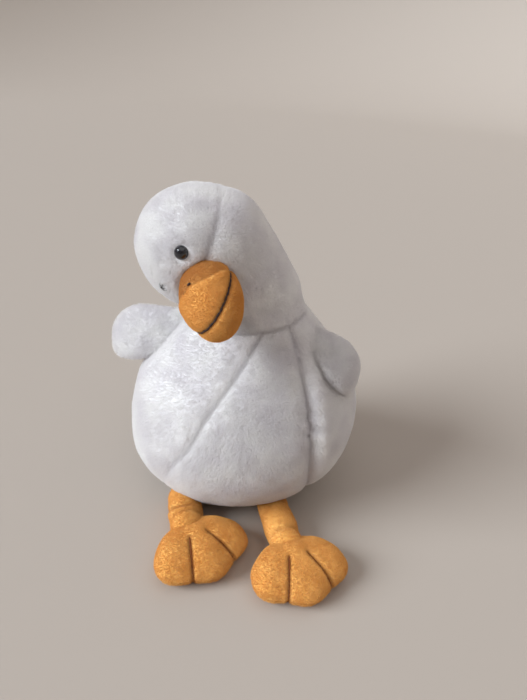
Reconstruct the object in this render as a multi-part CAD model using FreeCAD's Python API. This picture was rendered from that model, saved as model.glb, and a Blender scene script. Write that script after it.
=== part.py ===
import FreeCAD, Part
import math
import os
from FreeCAD import Matrix, Placement, Rotation, Vector

# A seated plush bird, about 21 cm tall: a pear-shaped body, a thick neck bent to the bird's right, a nodding
# head, two stubby wings, and two floppy legs with three-toed feet.
# Millimetres and degrees. +Z is up, the front is -Y, and the bird's left is +X.
# The origin is the centre of the flat base.

# ---- cloth and clearances ----
PLUSH = 2.0                  # white plush cloth with its short pile
FLEECE = 1.5                 # orange cloth of the beak, legs and feet
POUCH_CLOTH = 1.2            # calico of the bean bag
GAP = 0.3                    # between bodies that move
THREAD = 0.6                 # how far a stitched line stands off the cloth

# ---- torso: height, middle in X, half width in X, half depth in Y ----
TORSO_SECTIONS = (
    (0, 0, 42, 33),
    (4, -2, 52, 41),
    (12, -5, 60, 48),
    (24, -4.5, 68.5, 57.5),
    (40, -2, 74, 65.5),
    (58, 0.1, 76.6, 69.3),
    (78, 0.2, 73.9, 65),
    (88, -0.1, 70.6, 60.5),
    (98, 2, 64, 55),
    (114, 3.3, 51.5, 45),
    (126, 2.7, 41.9, 38),
    (140, 1.6, 33.4, 33),
)
BASE_SEAM = 5.0              # height of the seam round the base panel
BELLY_RIGHT_SEAM = ((15, 150), (-11, 107), (-24, 89), (-33, 71), (-43, 54), (-51, 28), (-50, 0))
BELLY_LEFT_SEAM = ((18, 150), (32, 113), (36, 98), (39, 80), (41, 58), (42, 28), (40, 0))
BACK_SEAM_X = 3.0
FRONT_SPLIT_X = 13.0
POUCH_RADIUS = 46.0
POUCH_HALF_HEIGHT = 17.0
POUCH_Z = 20.5
POUCH_BACK = 4.0             # set back, clear of the legs
TAIL_MIDDLE = Vector(2, 66, 50)
TAIL_RADII = (10, 20, 7)
TAIL_RISE = 28.0
CLOSING_STITCHES = 8
CLOSING_FROM_Z = 74.0
CLOSING_PITCH = 4.5
CLOSING_WIDTH = 5.0

# ---- neck ----
NECK_JOINT = Vector(0, 0, 146)
NECK_BALL = 31.5
NECK_CLOTH_END = 9.5         # the neck's cloth runs this far down its ball
NECK_SEAT_TILT = 18.0        # the torso's top leans this far to the bird's right
NECK_SEAT_LATITUDE = 34.0    # rim of the torso's seat, below the ball's middle
NECK_TOP = 34.5
NECK_DROP = 8.0              # the neck's last ball lies this far under the head's middle

# ---- head: a ball, with its own front, left and up directions ----
HEAD = Vector(-32, -10, 180)
HEAD_RADIUS = 34.0
HEAD_TURN = 2.4              # about +Z
HEAD_NOD = 20.4              # chin down
HEAD_ROLL = 67.2             # crown over to the bird's right
NECK_RIM = -16.0             # height of the neck's rim on the head, from the head's middle
BEAK_LOW_EDGE = 51.0         # the beak's underside, seen from the head's middle
CHIN_DOWN = 20.0             # how far the beak swings towards the throat
HEAD_SEAM = 0.07             # height of the seam between the head's panels, in head radii
HEAD_OPENING = -31.0         # where the head's cloth ends, towards the neck

# ---- face ----
BEAK_OUT = 42.2              # middle of the beak, in front of the head's middle
BEAK_DOWN = 6.3
BEAK_ASIDE = 3.4             # towards the bird's left, as it is sewn on
BEAK_DROOP = 16.0            # the tip points down
BEAK_TWIST = 12.0            # the top leans to the bird's left
BEAK_RADII = (25.5, 16.7, 15.3)
MOUTH_DROP = 1.6             # the mouth line passes under the beak's middle
MOUTH_RISE = 22.8            # and climbs towards the tip
MOUTH_BAND = 1.8
NOSTRILS = ((-2.2, 11), (0.3, -6))     # each: forward of the beak's middle, degrees from its top to the left
NOSTRIL_RADII = (1.0, 1.8, 0.9)
EYE_DIRECTION = (0.81, 0.40, 0.42)
EYE_RADIUS = 3.9
EYE_SINK = {1: 0.5, -1: 2.3}  # the right eye is pulled deeper into the cloth
SHANK_RADIUS = 1.2
SHANK_LENGTH = 8.0
WASHER_RADIUS = 5.0
WASHER_THICKNESS = 1.2

# ---- wings: middle, span direction, chord direction, half sizes ----
WING_RADII = (24, 18, 5.5)
WING_RIGHT = (Vector(-72.8, 16.2, 106.6), Vector(-0.846, 0.14, -0.514), Vector(-0.236, 0.766, 0.597))
WING_LEFT = (Vector(62, -21.5, 111), Vector(0.47, -0.10, -0.88), Vector(0.42, 0.87, 0.12))

# ---- legs and feet ----
LEG_RADIUS = 9.0
HIP_RIGHT = Vector(-38.5, -43.5, 10)
HIP_LEFT = Vector(21.5, -46, 10)
HIP_LIFT = 20.0
ANKLE_RIGHT = Vector(-34.5, -67.5, 10.5)
ANKLE_LEFT = Vector(29.5, -79, 10.5)
FOOT_YAW_RIGHT = 32.0
FOOT_YAW_LEFT = 19.0
TOE_FAN = 43.0
TOE_REACH = 20.5             # ankle to the middle of a toe
TOE_RADII = (19, 12.8, 11)
TOE_Z = 9.0
HEEL_REACH = 12.0
HEEL_RADIUS = 10.0
FOOT_BACK = 7.8              # the foot's cloth starts this far in front of the ankle
FOOT_SEAM = 7.0
TOE_LINE_FROM = 16.0
TOE_LINE_TO = 36.0
TOE_LINE_WIDTH = 1.4

FAR = 400.0                  # larger than anything here
X_AXIS = Vector(1, 0, 0)
Y_AXIS = Vector(0, 1, 0)
Z_AXIS = Vector(0, 0, 1)


def unit(vector):
    result = Vector(vector)
    result.normalize()
    return result


def turned(vector, axis, degrees):
    return Rotation(axis, degrees).multVec(vector)


def ball(middle, radius):
    return Part.makeSphere(radius, middle)


def frame_matrix(middle, along, across, up):
    return Matrix(
        along.x, across.x, up.x, middle.x,
        along.y, across.y, up.y, middle.y,
        along.z, across.z, up.z, middle.z,
        0, 0, 0, 1,
    )


def ellipsoid(middle, directions, radii):
    """An ellipsoid whose half sizes lie along three directions at right angles."""
    stretch = Matrix()
    stretch.scale(*radii)
    return Part.makeSphere(1.0).transformGeometry(frame_matrix(middle, *directions) * stretch)


def side_of(point, normal):
    """A block that fills the side of a plane its normal points to."""
    block = Part.makeBox(2 * FAR, 2 * FAR, FAR, Vector(-FAR, -FAR, 0))
    block.Placement = Placement(point, Rotation(Z_AXIS, normal))
    return block


def slab(point, normal, thickness):
    block = Part.makeBox(2 * FAR, 2 * FAR, thickness, Vector(-FAR, -FAR, -thickness / 2))
    block.Placement = Placement(point, Rotation(Z_AXIS, normal))
    return block


def rod(start, end, radius):
    return Part.makeCylinder(radius, (end - start).Length, start, end - start)


def spun(start, axis, edges):
    """The solid that a closed outline sweeps round an axis."""
    return Part.Face(Part.Wire(edges)).revolve(start, axis, 360)


def capsule(start, end, radius):
    axis = unit(end - start)
    side = unit(axis.cross(Z_AXIS))
    corners = (start - axis * radius, start + side * radius, end + side * radius, end + axis * radius)
    near = start + (side - axis) * (radius * math.sqrt(0.5))
    far = end + (side + axis) * (radius * math.sqrt(0.5))
    edges = [
        Part.Arc(corners[0], near, corners[1]).toShape(),
        Part.makeLine(corners[1], corners[2]),
        Part.Arc(corners[2], far, corners[3]).toShape(),
        Part.makeLine(corners[3], corners[0]),
    ]
    return spun(start, axis, edges)


def outermost(shape, start, direction):
    """Where a ray from inside leaves a solid."""
    ray = Part.makeLine(start, start + unit(direction) * FAR)
    hits = shape.common(ray).Vertexes
    return max((v.Point for v in hits), key=lambda p: (p - start).Length)


def save(name, shape):
    """Write one sub-part as its solids."""
    solids = shape.Solids
    if not solids or not shape.isValid():
        raise ValueError(name + " is not a valid solid")
    body = solids[0] if len(solids) == 1 else Part.makeCompound(solids)
    body.exportStep(os.path.join("parts", name + ".step"))
    print(name, len(solids), round(sum(s.Volume for s in solids)))


# ---- directions that several sub-parts share ----

def head_axes():
    """Front, left and up of the head, after its turn, nod and roll."""
    front, left, up = -Y_AXIS, X_AXIS, Z_AXIS
    steps = ((Z_AXIS, HEAD_TURN), (X_AXIS, HEAD_NOD))
    for axis, degrees in steps:
        front, left, up = (turned(v, axis, degrees) for v in (front, left, up))
    left, up = (turned(v, front, HEAD_ROLL) for v in (left, up))
    return unit(front), unit(left), unit(up)


FRONT, LEFT, UP = head_axes()
SEAT_NORMAL = turned(Z_AXIS, Y_AXIS, -NECK_SEAT_TILT)
SEAT_POINT = NECK_JOINT - SEAT_NORMAL * (NECK_BALL * math.sin(math.radians(NECK_SEAT_LATITUDE)))
BEAK = HEAD + FRONT * BEAK_OUT - UP * BEAK_DOWN + LEFT * BEAK_ASIDE
BEAK_FRONT = turned(FRONT, LEFT, BEAK_DROOP)
BEAK_UP = turned(turned(UP, LEFT, BEAK_DROOP), BEAK_FRONT, -BEAK_TWIST)
BEAK_LEFT = turned(LEFT, BEAK_FRONT, -BEAK_TWIST)


# ---- torso ----

def torso_form(inset):
    wires = []
    for number, (z, middle, half_width, half_depth) in enumerate(TORSO_SECTIONS):
        lift = inset if number == 0 else 0
        oval = Part.Ellipse(Vector(middle, 0, z + lift), half_width - inset, half_depth - inset)
        wires.append(Part.Wire([oval.toShape()]))
    form = Part.makeLoft(wires, True)
    form = form.cut(side_of(SEAT_POINT, SEAT_NORMAL))
    form = form.cut(ball(NECK_JOINT, NECK_BALL + GAP))
    for hip, ankle in ((HIP_LEFT, ANKLE_LEFT), (HIP_RIGHT, ANKLE_RIGHT)):
        form = form.cut(leg_space(hip, ankle))
    return form


def leg_space(hip, ankle):
    """Room for a leg that lies forward at rest, lifts a little, and hangs down over an edge."""
    reach = LEG_RADIUS + GAP
    leg = (ankle - hip) * 1.5
    lifts = (0, HIP_LIFT / 2, HIP_LIFT, -90)
    rods = [rod(hip, hip + turned(leg, X_AXIS, -lift), reach) for lift in lifts]
    return ball(hip, reach).fuse(rods)


def belly_wedge():
    """A block in front of the body whose sides are the two belly seams."""
    edges = []
    for seam in (BELLY_RIGHT_SEAM, BELLY_LEFT_SEAM):
        curve = Part.BSplineCurve()
        curve.interpolate([Vector(x, 0, z) for x, z in seam])
        edges.append(curve.toShape())
    ends = [(edge.Vertexes[0].Point, edge.Vertexes[-1].Point) for edge in edges]
    edges.append(Part.makeLine(ends[0][0], ends[1][0]))
    edges.append(Part.makeLine(ends[0][1], ends[1][1]))
    outline = Part.Face(Part.Wire(Part.__sortEdges__(edges)))
    return outline.extrude(-Y_AXIS * FAR)


def right_half():
    """The bird's right of the back seam, and of the belly's top in front."""
    corners = ((-FAR, -FAR), (FRONT_SPLIT_X, -FAR), (FRONT_SPLIT_X, 0), (BACK_SEAM_X, 0),
               (BACK_SEAM_X, FAR), (-FAR, FAR))
    points = [Vector(x, y, -FAR) for x, y in corners]
    return Part.Face(Part.makePolygon(points + points[:1])).extrude(Z_AXIS * 2 * FAR)


def make_torso():
    outer = torso_form(0)
    inner = torso_form(PLUSH)
    cover = outer.cut(inner)
    seam = Vector(0, 0, BASE_SEAM)
    upper = cover.common(side_of(seam, Z_AXIS))
    save("base_panel", cover.cut(side_of(seam, Z_AXIS)))
    wedge = belly_wedge()
    save("belly_panel", upper.common(wedge))
    sides = upper.cut(wedge)
    save("side_panel_right", sides.common(right_half()))
    save("side_panel_left", sides.cut(right_half()))

    pouch_middle = Vector(0, POUCH_BACK, POUCH_Z)
    axes = (X_AXIS, Y_AXIS, Z_AXIS)
    pouch = ellipsoid(pouch_middle, axes, (POUCH_RADIUS, POUCH_RADIUS, POUCH_HALF_HEIGHT))
    fill_radius = POUCH_RADIUS - POUCH_CLOTH
    pellets = ellipsoid(pouch_middle, axes, (fill_radius, fill_radius, POUCH_HALF_HEIGHT - POUCH_CLOTH))
    save("torso_stuffing", inner.cut(pouch))
    save("pellet_pouch", pouch.cut(pellets))
    save("pellets", pellets)

    along = turned(Y_AXIS, X_AXIS, TAIL_RISE)
    tail = ellipsoid(TAIL_MIDDLE, (X_AXIS, along, X_AXIS.cross(along)), TAIL_RADII)
    save("tail", tail.cut(outer))
    save("closing_stitches", make_closing_stitches(outer))


def make_closing_stitches(outer):
    """Short hand stitches across the back seam, where the toy was filled."""
    half = X_AXIS * (CLOSING_WIDTH / 2)
    stitches = []
    for number in range(CLOSING_STITCHES):
        middle = Vector(BACK_SEAM_X, 0, CLOSING_FROM_Z + number * CLOSING_PITCH)
        spot = outermost(outer, middle, Y_AXIS) + Y_AXIS * (THREAD + 0.1)
        stitches.append(rod(spot - half, spot + half, THREAD).cut(outer))
    return Part.makeCompound(stitches)


# ---- neck ----

def beak_sweep():
    """The room that the beak swings through as the chin goes down."""
    reach = math.hypot(BEAK_OUT, BEAK_DOWN)
    room = THREAD + GAP
    oval = Part.Ellipse(Vector(reach, 0, 0), BEAK_RADII[0] + room, BEAK_RADII[1] + BEAK_ASIDE + room)
    face = Part.Face(Part.Wire([oval.toShape()]))
    sweep = face.revolve(Vector(0, 0, 0), Y_AXIS, BEAK_LOW_EDGE + CHIN_DOWN)
    return sweep.transformGeometry(frame_matrix(HEAD, FRONT, LEFT, UP))


def neck_form(inset):
    """Two balls joined by a cone, hollowed for the head and notched under the beak."""
    top = HEAD - UP * NECK_DROP
    axis = unit(top - NECK_JOINT)
    length = (top - NECK_JOINT).Length
    cone = Part.makeCone(NECK_BALL - inset, NECK_TOP - inset, length, NECK_JOINT, axis)
    form = cone.fuse([ball(NECK_JOINT, NECK_BALL - inset), ball(top, NECK_TOP - inset)])
    form = form.cut(ball(HEAD, HEAD_RADIUS + GAP))
    form = form.cut(side_of(HEAD + UP * NECK_RIM, UP))
    return form.cut(beak_sweep())


def make_neck():
    outer = neck_form(0)
    inner = neck_form(PLUSH)
    top = HEAD - UP * NECK_DROP
    axis = unit(top - NECK_JOINT)
    lower_edge = NECK_JOINT - axis * NECK_CLOTH_END
    cap = outer.cut(side_of(lower_edge, axis))
    cover = outer.cut(inner).cut(cap)
    leftward = unit(axis.cross(FRONT))
    left_side = cover.common(side_of(NECK_JOINT, leftward))
    left_panel = max(left_side.Solids, key=lambda s: s.Volume)
    save("neck_panel_left", left_panel)
    save("neck_panel_right", cover.cut(left_panel))
    save("neck_stuffing", outer.cut(cover))


# ---- head ----

def eye(out, sink):
    """A dome that stands on the head, and the shank under it."""
    side = unit(out.cross(UP))
    dome_middle = HEAD_RADIUS - sink
    rim_out = (dome_middle ** 2 + HEAD_RADIUS ** 2 - EYE_RADIUS ** 2) / (2 * dome_middle)
    rim_side = math.sqrt(HEAD_RADIUS ** 2 - rim_out ** 2)
    shank_top = math.sqrt(HEAD_RADIUS ** 2 - SHANK_RADIUS ** 2)
    middle_side = (SHANK_RADIUS + rim_side) / 2
    slant = EYE_RADIUS * math.sqrt(0.5)

    def at(along, across):
        return HEAD + out * along + side * across

    low = at(HEAD_RADIUS - SHANK_LENGTH, 0)
    low_rim = at(HEAD_RADIUS - SHANK_LENGTH, SHANK_RADIUS)
    neck = at(shank_top, SHANK_RADIUS)
    rim = at(rim_out, rim_side)
    tip = at(dome_middle + EYE_RADIUS, 0)
    under = at(math.sqrt(HEAD_RADIUS ** 2 - middle_side ** 2), middle_side)
    edges = [
        Part.makeLine(low, low_rim),
        Part.makeLine(low_rim, neck),
        Part.Arc(neck, under, rim).toShape(),
        Part.Arc(rim, at(dome_middle + slant, slant), tip).toShape(),
        Part.makeLine(tip, low),
    ]
    return spun(HEAD, out, edges)


def eye_tools(side):
    """The eye, the washer behind the cloth, and the room that they take in cloth and stuffing."""
    front, left, up = EYE_DIRECTION
    out = unit(FRONT * front + LEFT * left * side + UP * up)
    shank_end = HEAD + out * (HEAD_RADIUS - SHANK_LENGTH)
    shank = rod(shank_end, HEAD + out * (HEAD_RADIUS + 1), SHANK_RADIUS)
    inside = HEAD_RADIUS - PLUSH
    seat = math.sqrt(inside ** 2 - WASHER_RADIUS ** 2)
    washer_low = HEAD + out * (seat - WASHER_THICKNESS)
    washer = rod(washer_low, HEAD + out * seat, WASHER_RADIUS).cut(shank)
    room = shank.fuse(rod(washer_low, HEAD + out * HEAD_RADIUS, WASHER_RADIUS))
    return eye(out, EYE_SINK[side]), washer, shank, room


def make_head():
    outer = ball(HEAD, HEAD_RADIUS)
    inner = ball(HEAD, HEAD_RADIUS - PLUSH)
    opening = HEAD + UP * HEAD_OPENING
    cover = outer.cut(inner).common(side_of(opening, UP))
    stuffing = inner.fuse(outer.cut(side_of(opening, UP))).removeSplitter()
    for side, name in ((1, "left"), (-1, "right")):
        bead, washer, shank, room = eye_tools(side)
        cover = cover.cut(shank)
        stuffing = stuffing.cut(room)
        save("eye_" + name, bead)
        save("eye_washer_" + name, washer)
    seam = HEAD + UP * (HEAD_SEAM * HEAD_RADIUS)
    save("crown_panel", cover.common(side_of(seam, UP)))
    save("throat_panel", cover.cut(side_of(seam, UP)))
    save("head_stuffing", stuffing)


def make_beak():
    axes = (BEAK_FRONT, BEAK_LEFT, BEAK_UP)
    skull = ball(HEAD, HEAD_RADIUS)
    outer = ellipsoid(BEAK, axes, BEAK_RADII)
    inner = ellipsoid(BEAK, axes, [r - FLEECE for r in BEAK_RADII])
    proud = ellipsoid(BEAK, axes, [r + THREAD for r in BEAK_RADII])
    mouth = BEAK - BEAK_UP * MOUTH_DROP
    mouth_normal = turned(BEAK_UP, BEAK_LEFT, -MOUTH_RISE)
    cover = outer.cut(inner).cut(skull)
    save("beak_upper", cover.common(side_of(mouth, mouth_normal)))
    save("beak_lower", cover.cut(side_of(mouth, mouth_normal)))
    save("beak_stuffing", inner.cut(skull))
    band = proud.cut(outer).common(slab(mouth, mouth_normal, MOUTH_BAND))
    save("mouth_stitch", band.cut(skull))
    knots = []
    for forward, aside in NOSTRILS:
        out = turned(BEAK_UP, BEAK_FRONT, -aside)
        spot = outermost(outer, BEAK + BEAK_FRONT * forward, out)
        knots.append(ellipsoid(spot, (BEAK_FRONT, out.cross(BEAK_FRONT), out), NOSTRIL_RADII).cut([outer, skull]))
    save("nostril_stitches", Part.makeCompound(knots))


# ---- wings ----

def wing_axes(span, chord):
    along = unit(span)
    across = unit(chord - along * chord.dot(along))
    return along, across, along.cross(across)


def make_wing(name, place):
    middle, span, chord = place
    axes = wing_axes(span, chord)
    outer = ellipsoid(middle, axes, WING_RADII)
    inner = ellipsoid(middle, axes, [r - PLUSH for r in WING_RADII])
    cover = outer.cut(inner)
    outward = axes[2] if axes[2].dot(Vector(middle.x, middle.y, 0)) > 0 else -axes[2]
    save("wing_outer_" + name, cover.common(side_of(middle, outward)))
    save("wing_inner_" + name, cover.cut(side_of(middle, outward)))
    save("wing_stuffing_" + name, inner)


# ---- legs and feet ----

def make_leg(name, hip, ankle):
    outer = capsule(hip, ankle, LEG_RADIUS)
    inner = capsule(hip, ankle, LEG_RADIUS - FLEECE)
    save("leg_tube_" + name, outer.cut(inner))
    save("leg_stuffing_" + name, inner)


def foot_form(ankle, forward, growth):
    """Three toes in a fan, run together at the heel, flat underneath."""
    lobes = []
    for fan in (-TOE_FAN, 0, TOE_FAN):
        along = turned(forward, Z_AXIS, fan)
        middle = Vector(ankle.x, ankle.y, TOE_Z) + along * TOE_REACH
        radii = [r + growth for r in TOE_RADII]
        lobes.append(ellipsoid(middle, (along, Z_AXIS.cross(along), Z_AXIS), radii))
    heel = Vector(ankle.x, ankle.y, HEEL_RADIUS) + forward * HEEL_REACH
    lobes.append(ball(heel, HEEL_RADIUS + growth))
    form = lobes[0].fuse(lobes[1:])
    form = form.cut(ball(ankle, LEG_RADIUS + GAP - growth))
    form = form.cut(side_of(Vector(0, 0, max(0, -growth)), -Z_AXIS))
    return form.common(side_of(ankle + forward * (FOOT_BACK - growth), forward))


def make_foot(name, ankle, yaw):
    forward = turned(-Y_AXIS, Z_AXIS, yaw)
    outer = foot_form(ankle, forward, 0)
    inner = foot_form(ankle, forward, -FLEECE)
    cover = outer.cut(inner)
    seam = Vector(0, 0, FOOT_SEAM)
    save("foot_top_" + name, cover.common(side_of(seam, Z_AXIS)))
    save("foot_sole_" + name, cover.cut(side_of(seam, Z_AXIS)))
    save("foot_stuffing_" + name, inner)
    save("toe_stitches_" + name, make_toe_stitches(ankle, forward, outer))


def make_toe_stitches(ankle, forward, outer):
    """A stitched line along each valley between two toes."""
    proud = foot_form(ankle, forward, THREAD)
    lines = []
    for fan in (-TOE_FAN / 2, TOE_FAN / 2):
        along = turned(forward, Z_AXIS, fan)
        line = proud.common(slab(ankle, Z_AXIS.cross(along), TOE_LINE_WIDTH))
        line = line.common(side_of(ankle + along * TOE_LINE_FROM, along))
        line = line.cut(side_of(ankle + along * TOE_LINE_TO, along))
        line = line.common(side_of(Vector(0, 0, FOOT_SEAM), Z_AXIS)).cut(outer)
        lines += line.Solids
    return Part.makeCompound(lines)


def main():
    os.makedirs("parts", exist_ok=True)
    make_torso()
    make_neck()
    make_head()
    make_beak()
    make_wing("left", WING_LEFT)
    make_wing("right", WING_RIGHT)
    for name, hip, ankle, yaw in (
        ("left", HIP_LEFT, ANKLE_LEFT, FOOT_YAW_LEFT),
        ("right", HIP_RIGHT, ANKLE_RIGHT, FOOT_YAW_RIGHT),
    ):
        make_leg(name, hip, ankle)
        make_foot(name, ankle, yaw)


main()
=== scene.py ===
import bpy
import math
import numpy as np
from mathutils import Matrix, Vector


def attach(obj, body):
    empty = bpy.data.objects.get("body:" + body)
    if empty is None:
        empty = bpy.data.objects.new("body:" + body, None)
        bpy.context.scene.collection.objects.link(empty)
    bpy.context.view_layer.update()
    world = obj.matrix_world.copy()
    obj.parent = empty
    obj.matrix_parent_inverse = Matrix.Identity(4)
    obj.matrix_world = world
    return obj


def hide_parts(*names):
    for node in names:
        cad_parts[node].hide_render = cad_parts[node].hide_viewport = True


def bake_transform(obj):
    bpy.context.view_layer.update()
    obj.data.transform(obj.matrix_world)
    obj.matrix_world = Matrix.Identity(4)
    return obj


# The look of a seated plush bird. Lengths are millimetres until a mesh is made, and +Z is up, front is -Y,
# the bird's left is +X. Skins are cut from one smooth form, so that neighbours meet along their seams.

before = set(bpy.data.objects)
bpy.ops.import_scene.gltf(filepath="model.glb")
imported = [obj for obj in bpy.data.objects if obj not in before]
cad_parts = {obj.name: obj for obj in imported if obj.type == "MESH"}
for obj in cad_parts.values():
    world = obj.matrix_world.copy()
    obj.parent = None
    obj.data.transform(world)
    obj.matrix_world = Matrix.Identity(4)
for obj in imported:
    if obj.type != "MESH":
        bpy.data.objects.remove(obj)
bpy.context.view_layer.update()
MM = 0.001


# ---------------------------------------------------------------- small maths

def vec(*values):
    return np.array(values, float)


def unit(v):
    v = np.asarray(v, float)
    return v / np.linalg.norm(v, axis=-1, keepdims=True)


def turned(v, axis, degrees):
    """Vectors turned about an axis."""
    v, axis, a = np.asarray(v, float), unit(axis), math.radians(degrees)
    along = (v @ axis)[..., None] * axis if v.ndim > 1 else (v @ axis) * axis
    return v * math.cos(a) + np.cross(axis, v) * math.sin(a) + along * (1 - math.cos(a))


def smooth_between(x, xs, ys):
    """A smooth curve through points, straight on beyond its ends."""
    xs, ys = np.asarray(xs, float), np.asarray(ys, float)
    slopes = np.gradient(ys, xs, axis=0)
    x = np.clip(x, xs[0], xs[-1])
    i = np.clip(np.searchsorted(xs, x) - 1, 0, len(xs) - 2)
    h = xs[i + 1] - xs[i]
    t = (x - xs[i]) / h
    if ys.ndim > 1:
        t, h = t[:, None], h[:, None]
    a, b = (1 + 2 * t) * (1 - t) ** 2, t * (1 - t) ** 2
    c, d = t * t * (3 - 2 * t), t * t * (t - 1)
    return a * ys[i] + b * h * slopes[i] + c * ys[i + 1] + d * h * slopes[i + 1]


def bump(x, width):
    return np.exp(-(x / width) ** 2)


def step(x, low, high):
    t = np.clip((x - low) / (high - low), 0, 1)
    return t * t * (3 - 2 * t)


def noise(p, size, seed):
    """Smooth noise from -1 to 1, with lumps of about this size."""
    q = p / size
    cell = np.floor(q).astype(np.int64)
    f = q - cell
    f = f * f * f * (f * (f * 6 - 15) + 10)
    total = np.zeros(len(p))
    for corner in range(8):
        d = np.array([corner & 1, corner >> 1 & 1, corner >> 2])
        k = cell + d
        h = k[:, 0] * 374761393 + k[:, 1] * 668265263 + k[:, 2] * 1440662683 + seed * 97531
        h = (h ^ (h >> 13)) * 1274126177 & 0xFFFFFFFF
        h = ((h ^ (h >> 16)) * 2246822519 & 0xFFFFFFFF) / 0xFFFFFFFF
        total += h * np.prod(np.where(d == 1, f, 1 - f), axis=1)
    return total * 2 - 1


def blended_min(a, b, width):
    h = np.clip(0.5 + 0.5 * (b - a) / width, 0, 1)
    return b * (1 - h) + a * h - width * h * (1 - h)


def ellipsoid_gap(p, middle, axes, radii):
    """Roughly how far a point is outside an ellipsoid."""
    q = (p - middle) @ np.array(axes).T / np.array(radii, float)
    return (np.linalg.norm(q, axis=1) - 1) * min(radii)


def cast(gap, origins, directions, far, pitch=1.5):
    """Where rays first leave a form. gap is negative inside."""
    shape = directions.shape
    o = np.broadcast_to(origins, shape).reshape(-1, 3)
    d = directions.reshape(-1, 3)
    low = np.zeros(len(d))
    open_ = np.ones(len(d), bool)
    for k in range(1, int(far / pitch) + 1):
        r = k * pitch
        inside = gap(o + d * r) < 0
        open_ &= inside
        low[open_] = r
        if not open_.any():
            break
    high = low + pitch
    for _ in range(14):
        middle = (low + high) / 2
        inside = gap(o + d * middle[:, None]) < 0
        low, high = np.where(inside, middle, low), np.where(inside, high, middle)
    return (o + d * low[:, None]).reshape(shape)


def slope(gap, p):
    """Outward direction of a form at points on it."""
    flat, h = p.reshape(-1, 3), 0.4
    g = np.stack([gap(flat + h * e) - gap(flat - h * e) for e in np.eye(3)], axis=1)
    return unit(g + 1e-12).reshape(p.shape)


# ---------------------------------------------------------------- the bird's form

TORSO_SECTIONS = np.array((  # height, middle in X, half width, half depth
    (0, 0, 42, 33), (4, -2, 52, 41), (12, -5, 60, 46.5), (24, -4.5, 67.5, 56.5), (40, -2, 74, 65.5),
    (58, 0.1, 76, 68.5), (78, 0.2, 73.3, 64.5), (88, -0.1, 70, 60), (98, 2, 63.5, 54.5), (106, 3, 57.3, 49.5),
    (114, 3.3, 51, 44.5), (126, 2.7, 41.4, 37.5), (136, 2, 34, 33.3), (144, 1, 28.5, 29), (150, 0, 22, 23),
    (156, 0, 14, 14)), float)
# The belly seams: X and height.
BELLY_RIGHT_SEAM = np.array(((-50, 0), (-51, 28), (-43, 54), (-33, 71), (-24, 89), (-11, 107),
                             (15, 150)), float)
BELLY_LEFT_SEAM = np.array(((40, 0), (42, 28), (41, 58), (39, 80), (36, 98), (32, 113), (18, 150)), float)
PILE_SINK = 1.1              # the cloth lies this far under the tips of its pile

HEAD = vec(-32, -10, 180)
HEAD_RADIUS = 34.0
FRONT, LEFT, UP = vec(0, -1, 0), vec(1, 0, 0), vec(0, 0, 1)
for axis, degrees in ((vec(0, 0, 1), 2.4), (vec(1, 0, 0), 20.4)):
    FRONT, LEFT, UP = (turned(v, axis, degrees) for v in (FRONT, LEFT, UP))
LEFT, UP = turned(LEFT, FRONT, 67.2), turned(UP, FRONT, 67.2)
NECK_JOINT = vec(0, 0, 146)
NECK_TOP = HEAD - 8 * UP
NECK_RADII = (30.0, 34.2)
NECK_LOW_CUT = -22.0         # where the head's cloth takes over from the neck's, along the head's up
HEAD_SEAM = 2.4              # the seam round the crown, along the head's up
UPPER_CUT = 132.5


def torso_gap(p):
    z = p[:, 2]
    middle, half_width, half_depth = smooth_between(z, TORSO_SECTIONS[:, 0], TORSO_SECTIONS[:, 1:]).T
    ring = np.hypot((p[:, 0] - middle) / half_width, p[:, 1] / half_depth)
    side = (ring - 1) * np.minimum(half_width, half_depth)
    return np.maximum(side, z - 156)


def neck_gap(p):
    axis = NECK_TOP - NECK_JOINT
    share = np.clip((p - NECK_JOINT) @ axis / (axis @ axis), 0, 1)
    radius = NECK_RADII[0] + (NECK_RADII[1] - NECK_RADII[0]) * share
    return np.linalg.norm(p - NECK_JOINT - share[:, None] * axis, axis=1) - radius


def bird_gap(p):
    head = np.linalg.norm(p - HEAD, axis=1) - HEAD_RADIUS
    return blended_min(blended_min(torso_gap(p), neck_gap(p), 10), head, 6) + PILE_SINK


def upper_gap(p):
    """The form above the body: the neck's and head's rings, where they tip, stop at this height."""
    return np.maximum(bird_gap(p), UPPER_CUT - p[:, 2])


BEAK = HEAD + 42.2 * FRONT - 6.3 * UP + 3.4 * LEFT
BEAK_RADII = (25.5, 16.7, 15.3)
BEAK_FRONT = turned(FRONT, LEFT, 16)
BEAK_UP = turned(turned(UP, LEFT, 16), BEAK_FRONT, -12)
BEAK_LEFT = turned(LEFT, BEAK_FRONT, -12)
MOUTH = BEAK - 1.6 * BEAK_UP
MOUTH_UP, MOUTH_FRONT = turned(BEAK_UP, BEAK_LEFT, -22.8), turned(BEAK_FRONT, BEAK_LEFT, -22.8)


def beak_gap(p):
    return ellipsoid_gap(p, BEAK, (BEAK_FRONT, BEAK_LEFT, BEAK_UP), BEAK_RADII) + 0.3


LEFT_EYE = HEAD + HEAD_RADIUS * unit(0.81 * FRONT + 0.40 * LEFT + 0.42 * UP)


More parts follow.
